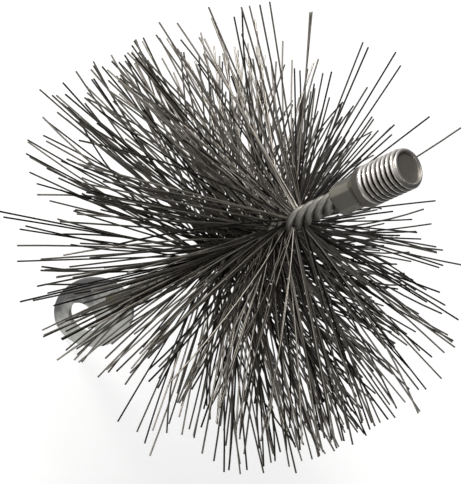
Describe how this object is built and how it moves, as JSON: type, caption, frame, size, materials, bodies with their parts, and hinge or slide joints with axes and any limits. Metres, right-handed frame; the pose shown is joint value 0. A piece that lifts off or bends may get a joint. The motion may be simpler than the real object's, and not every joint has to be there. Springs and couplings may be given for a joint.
{
  "type": "chimney sweep brush",
  "caption": "Round steel wire brush head on a twisted wire core, with a threaded ferrule at one end and an oval eye plate at the other.",
  "frame": {"origin": "on the core's axis where the ferrule's thread starts", "axes": "+Z along the core, out of the threaded end; the eye plate lies in the XZ plane"},
  "size_m": [0.139, 0.1389, 0.1532],
  "materials": {
    "plated_steel": "satin",
    "core_steel": "satin",
    "galvanised_steel": "satin",
    "weld_steel": "matte",
    "bristle_steel": "satin"
  },
  "bodies": {
    "root": {"threaded_ferrule": "plated_steel", "core_wire_a": "core_steel", "core_wire_b": "core_steel", "core_wire_c": "core_steel", "core_wire_d": "core_steel", "eye_plate": "galvanised_steel", "eye_weld_front": "weld_steel", "eye_weld_back": "weld_steel", "bristle_tuft_01": "bristle_steel", "bristle_tuft_02": "bristle_steel", "bristle_tuft_03": "bristle_steel", "bristle_tuft_04": "bristle_steel", "bristle_tuft_05": "bristle_steel", "bristle_tuft_06": "bristle_steel", "bristle_tuft_07": "bristle_steel", "bristle_tuft_08": "bristle_steel", "bristle_tuft_09": "bristle_steel", "bristle_tuft_10": "bristle_steel", "bristle_tuft_11": "bristle_steel", "bristle_tuft_12": "bristle_steel", "bristle_tuft_13": "bristle_steel", "bristle_tuft_14": "bristle_steel", "bristle_tuft_15": "bristle_steel"}
  },
  "joints": []
}
